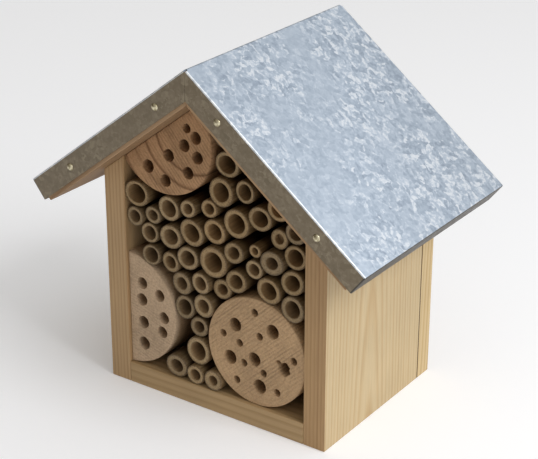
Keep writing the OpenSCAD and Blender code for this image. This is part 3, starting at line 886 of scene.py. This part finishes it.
# %% [markdown]
# ## Finish: hot-dip galvanised sheet
# Steel that is dipped in molten zinc comes out covered in zinc crystals, called spangle: feathery
# patches some 5 to 10 mm across, each of which mirrors the light in its own way. The patches are
# the cells of a Voronoi pattern whose borders are frayed by noise. Each cell takes one of two
# streak directions and its own brightness and gloss. The sheet isn't perfectly flat either, so a
# long, low wave goes into the bump.


# %% Galvanised sheet
def galvanised_sheet(name, metallic, shades, faintest):
    """faintest is how much of the spangle shows in the calmest areas."""
    material, add, shader, place = new_material(name, Metallic=metallic)
    # A frame that lies in the slopes: down the slope, along the ridge, through the sheet
    x, y, z = add("ShaderNodeSeparateXYZ", place).outputs
    sideways = add("ShaderNodeMath", x, operation="ABSOLUTE")
    fallen = add("ShaderNodeMath", z, -math.sin(slope), operation="MULTIPLY")
    down = add("ShaderNodeMath", sideways, math.cos(slope), fallen, operation="MULTIPLY_ADD")
    risen = add("ShaderNodeMath", z, math.cos(slope), operation="MULTIPLY")
    through = add("ShaderNodeMath", sideways, math.sin(slope), risen, operation="MULTIPLY_ADD")
    sheet = add("ShaderNodeCombineXYZ", down, y, through)
    # Crystal borders are frayed by up to a few millimetres
    fray = add("ShaderNodeTexNoise", sheet, Scale=scale_for(3.85), Detail=3.0, Roughness=0.6)
    fray = add("ShaderNodeVectorMath", fray.outputs["Color"], operation="SCALE", Scale=4.5 * MM)
    frayed = add("ShaderNodeVectorMath", sheet, fray, operation="ADD")
    # Crystals 3 mm wide and nearly twice as long, in two directions
    grains = []
    for degrees in (65, -20):
        grain_place = add(
            "ShaderNodeMapping", frayed, vector_type="TEXTURE",
            Rotation=(0, 0, math.radians(degrees)), Scale=(5.26 * MM, 2.94 * MM, 2.94 * MM),
        )
        grain = add("ShaderNodeTexVoronoi", grain_place, Scale=1.0, Randomness=1.0)
        grains.append(add("ShaderNodeSeparateColor", grain.outputs["Color"]))
    family = add("ShaderNodeTexNoise", sheet, Scale=scale_for(11.1), Detail=2.0)
    family = add("ShaderNodeMath", family, 0.5, operation="GREATER_THAN")
    crystal = add("ShaderNodeMix", family, *grains)
    feather = add("ShaderNodeTexNoise", frayed, Scale=scale_for(2.38), Detail=3.0, Roughness=0.55)
    shine = add("ShaderNodeMath", crystal, 0.5, feather, operation="MULTIPLY_ADD")
    # The spangle is bold in some areas and faint in others, and grows bolder towards the rear
    broad = add("ShaderNodeTexNoise", place, Scale=scale_for(41.7), Detail=2.0)
    broad = add("ShaderNodeMath", y, 1.2, broad, operation="MULTIPLY_ADD")
    bold = add("ShaderNodeValToRGB", broad, stops=[(0.36, faintest), (0.56, 1.0)])
    middling = 0.72
    shine = add("ShaderNodeMath", shine, middling, operation="SUBTRACT")
    shine = add("ShaderNodeMath", shine, bold, middling, operation="MULTIPLY_ADD")
    colour = add("ShaderNodeValToRGB", shine, stops=shades)
    rough = add("ShaderNodeValToRGB", shine, stops=[(0.4, 0.34), (0.9, 0.55)])
    # The long, low wave of a sheet that isn't flat, with the spangle's own faint relief
    wave = add("ShaderNodeTexNoise", place, Scale=scale_for(62.5), Detail=1.0)
    relief = add("ShaderNodeMath", shine, 0.25, operation="MULTIPLY")
    relief = add("ShaderNodeMath", wave, 8.0, relief, operation="MULTIPLY_ADD")
    finish_shader(add, shader, colour, relief, bump_mm=0.12, roughness=rough)
    return material


galvanised = galvanised_sheet(
    "hot_dip_galvanised_steel", 0.7,
    [(0.42, "#9FADBF"), (0.62, "#AFBDCD"), (0.82, "#BECAD8"), (1.0, "#DDE3EA")], 0.4,
)
# Painted shade and dim reflection: a darker, browner copy of the sheet for the upright end flanges
painted_flange_shade = galvanised_sheet(
    "handled_galvanised_flange", 0.45,
    [(0.35, "#675D4A"), (0.62, "#736753"), (0.8, "#7C705D"), (0.98, "#8B806B")], 0.6,
)
# Painted shade: a near-black copy of the sheet for the eave flanges, which face down, away from the
# light
painted_eave_shade = galvanised_sheet(
    "drip_stained_galvanised_eave", 0.1,
    [(0.35, "#2E2921"), (0.62, "#363027"), (0.8, "#3E392F"), (0.98, "#4C463C")], 0.6,
)
# Painted highlight: a pale, glossy copy of the sheet along the folds at front and rear
painted_fold_highlight = galvanised_sheet(
    "burnished_galvanised_fold", 0.85,
    [(0.42, "#C6CDD5"), (0.62, "#D0D6DD"), (0.8, "#DCE1E6"), (0.98, "#F0F3F5")], 0.8,
)

# %% [markdown]
# ## The folded cover
# The cover is one sheet with its four sides folded down, so its edges aren't sharp: each fold
# has an outer radius a little over the sheet's thickness, and that radius draws the bright line
# along the eaves. The sheet is laid out here as a skin with no thickness. A bevel rounds
# its folds and a Solidify modifier gives it its gauge. Where the folds meet at the ridge, the
# flanges part in a thin slit that ends in a drilled relief hole.


# %% Fold the cover
fold_mm, gauge_mm = 0.9, 0.8  # how far a fold's round reaches, and the sheet's thickness
painted_flange_shade_at, painted_fold_highlight_at, painted_eave_shade_at = 1, 2, 3  # material slots after the galvanised one


def cover_outline():
    """Measures one end of the cover: the corners on the right half, and the slit at the ridge."""
    outline = np.vstack(face_loops("metal_roof")[:2])  # the slit parts it into two halves
    eave = outline[outline[:, 0].argmax()]
    hem = outline[outline[:, 1].argmin()]
    near_slit = outline[np.abs(outline[:, 0]) < 1 * MM]
    slit = np.abs(near_slit[near_slit[:, 1].argmin()][0])
    return {"eave": eave, "hem": (abs(hem[0]), hem[1]), "peak": (slit, near_slit[:, 1].min())}


def folded_cover():
    low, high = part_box("metal_roof")
    corners = cover_outline()
    flange = math.dist(corners["eave"], corners["hem"])
    print("fold line to hem", round(flange / MM, 2), "mm")
    bm = bmesh.new()
    ends = []
    for y in (low.y, high.y):
        end = {"ridge": bm.verts.new((0, y, high.z))}
        for side, letter in ((-1, "l"), (1, "r")):
            for key in ("eave", "hem", "peak"):
                x, z = corners[key]
                end[key + "_" + letter] = bm.verts.new((side * x, y, z))
        ends.append(end)
    front, rear = ends
    for letter in ("l", "r"):
        ridge, eave, hem, peak = "ridge", "eave_" + letter, "hem_" + letter, "peak_" + letter
        for upper, lower in ((ridge, eave), (eave, hem)):
            bm.faces.new((front[upper], front[lower], rear[lower], rear[upper]))
        for end in ends:
            bm.faces.new([end[key] for key in (ridge, peak, hem, eave)])
    bmesh.ops.recalc_face_normals(bm, faces=bm.faces)
    eave_z = corners["eave"][1]
    slopes = [f for f in bm.faces if f.calc_center_median().z > eave_z and abs(f.normal.y) < 0.1]
    if slopes[0].normal.z < 0:
        bmesh.ops.reverse_faces(bm, faces=bm.faces)
    folds = [e for e in bm.edges if len(e.link_faces) == 2]
    rounded = bmesh.ops.bevel(
        bm, geom=folds, offset=fold_mm * MM, segments=5, affect="EDGES", profile=0.5,
        clamp_overlap=True,
    )["faces"]
    # Upright end flanges take a painted shade, and the eave flanges, which face down, a deeper
    # painted shade
    for face in bm.faces:
        face.material_index = painted_flange_shade_at if face.normal.z < 0.35 else 0
        if abs(face.normal.x) > 0.7 and face.normal.z < 0:
            face.material_index = painted_eave_shade_at
    # Upward folds at front and rear take the painted highlight, and low folds the deeper painted
    # shade
    for face in rounded:
        if abs(face.normal.y) > 0.15 and face.normal.z > 0.1:
            face.material_index = painted_fold_highlight_at
        else:
            face.material_index = painted_eave_shade_at if face.normal.z < 0.3 else 0
    piece = mesh_piece("folded_cover", bm, galvanised, ["metal_roof"], 40)
    for finish in (painted_flange_shade, painted_fold_highlight, painted_eave_shade):
        piece.data.materials.append(finish)
    gauge = piece.modifiers.new("gauge", "SOLIDIFY")
    gauge.thickness = gauge_mm * MM
    gauge.offset = -1
    return piece


cover = folded_cover()

# %% [markdown]
# ## The relief holes
# A hole is drilled at each end of the ridge, where three folds would otherwise crowd together and
# tear the sheet. Each one is cut with a Boolean modifier, by a short bar that leans at 45 degrees
# through the corner. The result is then kept as a plain mesh, so the cutter can be removed.


# %% Drill the relief holes
def without_slivers(bm):
    bmesh.ops.dissolve_degenerate(bm, edges=bm.edges, dist=weld_mm * MM)
    cut_many_sided(bm)


def cut_away(piece, cutter_mesh, sharp_degrees):
    cutter = new_object("cutter", cutter_mesh)
    cut = piece.modifiers.new("cut", "BOOLEAN")
    cut.operation = "DIFFERENCE"
    cut.solver = "EXACT"
    cut.object = cutter
    keep_result(piece, sharp_degrees, without_slivers)
    bpy.data.objects.remove(cutter)


relief_r, bar_length = 1.1 * MM, 4.8 * MM
cover_low, cover_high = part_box("metal_roof")
bars = bmesh.new()
for end_y, lean in ((cover_low.y, 45), (cover_high.y, -45)):
    corner = Matrix.Translation((0, end_y, cover_high.z))
    bmesh.ops.create_cone(
        bars, cap_ends=True, segments=32, radius1=relief_r, radius2=relief_r, depth=bar_length,
        matrix=corner @ Matrix.Rotation(math.radians(lean), 4, "X"),
    )
cut_away(cover, mesh_from("relief_bars", bars), 40)

# %% [markdown]
# ## Finish: brass and plated steel
# The nails' domes are bright brass that has begun to tarnish in soft patches. The screws, the
# hanger plate and the hidden nails are steel: yellow or clear zinc plate, or wire as it was drawn.
# All are metals whose colour and gloss vary a little in clouds of 1.5 to 2.5 mm.


# %% Brass and plated steel
def clouded_metal(name, cloud_mm, dull, bright, roughness, bump_mm):
    """dull and bright are each a place on the ramp and a colour."""
    material, add, shader, place = new_material(name, Metallic=1.0)
    cloud = add("ShaderNodeTexNoise", place, Scale=scale_for(cloud_mm), Detail=3.0)
    colour = add("ShaderNodeValToRGB", cloud, stops=[dull, bright])
    rough = add("ShaderNodeValToRGB", cloud, stops=roughness)
    finish_shader(add, shader, colour, cloud, bump_mm, rough)
    return material


brass = clouded_metal(
    "bright_brass", 1.43, (0.35, "#978C6C"), (0.6, "#D6CDB0"), [(0.3, 0.38), (0.7, 0.26)], 0.015
)
yellow_plated, clear_plated, bare_steel = [
    clouded_metal(name, 2.38, (0.3, dull), (0.7, bright), [(0.3, 0.45), (0.7, 0.3)], 0.02)
    for name, dull, bright in (
        ("yellow_passivated_zinc", "#9C8742", "#CDB66E"),
        ("clear_passivated_zinc", "#8F959A", "#BCC2C6"),
        ("drawn_steel_wire", "#74797E", "#A3A9AE"),
    )
]

# %% Dress the hanger plate and the hidden nails
eased_copy("hanger_plate", "pressed_hanger_plate", clear_plated, "plate_steel", 0.3, 4)
dress_cad_node("roof_nails", bare_steel)

# %% [markdown]
# ## Nails and screws
# Eight domed nails pin the cover's flanges, six countersunk screws hold the back and two pan-head
# screws hold the hanger plate. Each kind is one turned shape that repeats. So a blank is made
# once, as a profile spun round its axis, and Geometry Nodes put it at every place with a spin of
# its own, because no two screws stop at the same angle. Places and lengths are measured on the
# CAD nodes.


# %% Measure the fixings
head_reach_mm = 7  # corners nearer than this belong to the same nail or screw


def fixing_places(node):
    groups = []
    for vertex in cad_nodes[node].data.vertices:
        x, y, z = vertex.co
        for group in groups:
            near = math.hypot(x - group[0][0], z - group[0][2]) < head_reach_mm * MM
            if near and (y < 0) == (group[0][1] < 0):
                group.append((x, y, z))
                break
        else:
            groups.append([(x, y, z)])
    places = []
    for group in groups:
        low, high = np.min(group, axis=0), np.max(group, axis=0)
        front = low[1] < 0
        head = [(low[0] + high[0]) / 2, low[1] if front else high[1], (low[2] + high[2]) / 2]
        places.append(([float(c) for c in head], 0.0 if front else math.pi))
    length_mm = (high[1] - low[1]) / MM
    print(node, len(places), "of", round(length_mm, 1), "mm")
    return places, length_mm


# %% Turn a blank from its profile
def turned_blank(name, profile, recess_mm=None, around=32):
    """profile is radius and distance from the head's top in mm, between two points on the axis."""
    bm = bmesh.new()
    turns = [2 * math.pi * k / around for k in range(around)]
    rings = [
        [bm.verts.new((r * MM * math.cos(t), along * MM, r * MM * math.sin(t))) for t in turns]
        for r, along in profile[1:-1]
    ]
    for first, second in zip(rings, rings[1:]):
        join_rings(bm, first, second)
    for ring, (_, along) in ((rings[0], profile[0]), (rings[-1], profile[-1])):
        pole = bm.verts.new((0, along * MM, 0))
        for k in range(around):
            bm.faces.new((ring[k], ring[(k + 1) % around], pole))
    bmesh.ops.recalc_face_normals(bm, faces=bm.faces)
    blank = new_object(name, mesh_from(name, bm))
    if recess_mm:
        cut_away(blank, cross_cutter(*recess_mm), 35)
    return blank


def cross_cutter(width, depth):
    """A cross-shaped punch that narrows towards its bottom, as the tip of a driver does."""
    bm = bmesh.new()
    arm, half = width / 2 * MM, width / 9 * MM
    corners = []
    for quarter in range(4):
        turn = Matrix.Rotation(math.pi / 2 * quarter, 2)
        corners += [turn @ Vector(p) for p in ((half, half), (arm, half), (arm, -half))][::-1]
    rings = []
    for along, narrow in ((-depth, 1.15), (0, 1.0), (depth, 0.6)):
        rings.append(add_ring(bm, [corner * narrow for corner in corners], along * MM))
    for first, second in zip(rings, rings[1:]):
        join_rings(bm, first, second)
    caps = [bm.faces.new(rings[0]), bm.faces.new(rings[-1])]
    bmesh.ops.triangulate(bm, faces=caps)
    bmesh.ops.recalc_face_normals(bm, faces=bm.faces)
    return mesh_from("cross_cutter", bm)


# %% The tree that places the fixings
def fixing_tree():
    tree, add, given = new_geometry_tree(
        "place_fixings",
        [
            ("Blank", "NodeSocketObject", None), ("Material", "NodeSocketMaterial", None),
            ("Seed", "NodeSocketInt", 1),
        ],
    )
    spin = add("FunctionNodeRandomValue", 0.0, 2 * math.pi, data_type="FLOAT", Seed=given["Seed"])
    facing = add("GeometryNodeInputNamedAttribute", data_type="FLOAT", Name="turn")
    turned = add("ShaderNodeCombineXYZ", Y=spin, Z=facing)
    real = real_copies(add, given, Rotation=turned)
    end_geometry_tree(add, real, given["Material"])
    return tree


def place_fixings(node, name, blank, places, material, seed):
    mesh = bpy.data.meshes.new(name)
    mesh.from_pydata([head for head, _ in places], [], [])
    turns = mesh.attributes.new("turn", "FLOAT", "POINT")
    turns.data.foreach_set("value", [turn for _, turn in places])
    holder = new_object(name, mesh)
    bake_tree(holder, fixing_tree(), {"Blank": blank, "Material": material, "Seed": seed})
    bpy.data.objects.remove(blank)
    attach(holder, "root")
    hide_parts(node)


# %% Brass nails
def dome_profile(head_r, head_h, steps=8):
    sphere_r = (head_r**2 + head_h**2) / (2 * head_h)
    widest = math.asin(head_r / sphere_r)
    angles = [widest * step / steps for step in range(steps)]
    return [(sphere_r * math.sin(a), sphere_r * (1 - math.cos(a))) for a in angles]


places, length_mm = fixing_places("brass_nails")
nail_profile = dome_profile(2.3, 1.45) + [
    (2.3, 1.42), (2.24, 1.5), (0.9, 1.5), (0.9, length_mm - 2), (0, length_mm),
]
place_fixings(
    "brass_nails", "domed_brass_nails", turned_blank("nail_blank", nail_profile), places, brass,
    3,
)

# %% Countersunk screws in the back
places, length_mm = fixing_places("back_screws")
screw_profile = [
    (0, 0), (2.88, 0), (2.98, 0.08), (2.94, 0.16), (1.5, 1.52), (1.5, length_mm - 3),
    (0, length_mm),
]
place_fixings(
    "back_screws", "countersunk_back_screws",
    turned_blank("countersunk_blank", screw_profile, (3.6, 1.0)), places, yellow_plated,
    5,
)

# %% Pan-head screws of the hanger plate
places, length_mm = fixing_places("hanger_screws")
pan_profile = [
    (0, 0), (1.5, 0.04), (2.2, 0.2), (2.6, 0.55), (2.78, 1.05), (2.8, 1.5), (2.7, 1.6), (1.5, 1.6),
    (1.5, length_mm - 1.5), (0, length_mm),
]
place_fixings(
    "hanger_screws", "pan_head_hanger_screws",
    turned_blank("pan_head_blank", pan_profile, (3.4, 0.9)), places, clear_plated, 7,
)

# %% [markdown]
# ## Floor, light and camera
# The floor is a plain pale sheet. One large soft light stands high on the right, so that the
# right slope is bright and the front is in gentle shade, and the pale surroundings fill the rest.


# %% Floor
def pale_floor(half_width=40, gap_mm=0.05):
    bm = bmesh.new()
    bmesh.ops.create_grid(bm, x_segments=1, y_segments=1, size=half_width)
    floor = new_object("floor", mesh_from("floor", bm))
    floor.location.z = cad_low.z - gap_mm * MM
    paper = new_material(
        "matt_white_paper", Roughness=0.9, Base_Color="#F4F6FA", Emission_Color="#FFFFFF",
        Emission_Strength=0.15,
    )[0]
    floor.data.materials.append(paper)


pale_floor()

# %% Lights and surroundings
scene = bpy.context.scene
scene.view_settings.view_transform = "Standard"
world = bpy.data.worlds.new("pale_studio")
scene.world = world
world.use_nodes = True
bright_side = (0.72, 0.05, 0.69)  # towards the right and up
add = partial(add_node, world.node_tree)
toward = add("ShaderNodeTexCoord").outputs["Generated"]
facing = add("ShaderNodeVectorMath", toward, bright_side, operation="DOT_PRODUCT")
share = add("ShaderNodeMath", facing, 0.5, 0.5, operation="MULTIPLY_ADD")
sky_stops = [(0.25, "#6B6152"), (0.6, "#A09A90"), (0.95, "#FFFFFF")]
background = world.node_tree.nodes["Background"]
feed(background.inputs["Color"], add("ShaderNodeValToRGB", share, stops=sky_stops))
background.inputs["Strength"].default_value = 0.9


def soft_light(name, place, aim, size, watts, colour):
    light = bpy.data.lights.new(name, "AREA")
    light.shape = "DISK"
    light.size = size
    light.energy = watts
    light.color = linear(colour)[:3]
    holder = new_object(name, light)
    holder.location = place
    holder.rotation_mode = "QUATERNION"
    holder.rotation_quaternion = (Vector(aim) - Vector(place)).to_track_quat("-Z", "Y")
    print("light", name, watts, "W")


soft_light("key", (1.5, -0.15, 1.35), (0, 0, 0.1), size=0.9, watts=19, colour="#FFFFFF")

# %% Camera
camera_data = bpy.data.cameras.new("camera")
camera = new_object("camera", camera_data)
scene.camera = camera
# The eye stands at the front right and looks down: heading, pitch and roll in radians
heading, pitch, roll = 0.5965, -0.4147, 0.0084
ahead = Vector(
    (-math.sin(heading) * math.cos(pitch), math.cos(heading) * math.cos(pitch), math.sin(pitch))
)
level_right = ahead.cross(Vector((0, 0, 1))).normalized()
level_up = level_right.cross(ahead)
right = level_right * math.cos(roll) + level_up * math.sin(roll)
up = level_up * math.cos(roll) - level_right * math.sin(roll)
turned = Matrix((right, up, -ahead)).transposed()
camera.location = (0.5056, -0.7169, 0.4965)
camera.rotation_mode = "QUATERNION"
camera.rotation_quaternion = turned.to_quaternion()
camera_data.sensor_width = 36
camera_data.lens = 106.0
camera_data.shift_x = -0.0451
camera_data.shift_y = -0.0272
camera_data.clip_start = 0.01
print("camera", round(camera.location.length, 2), "m away, lens", camera_data.lens, "mm")
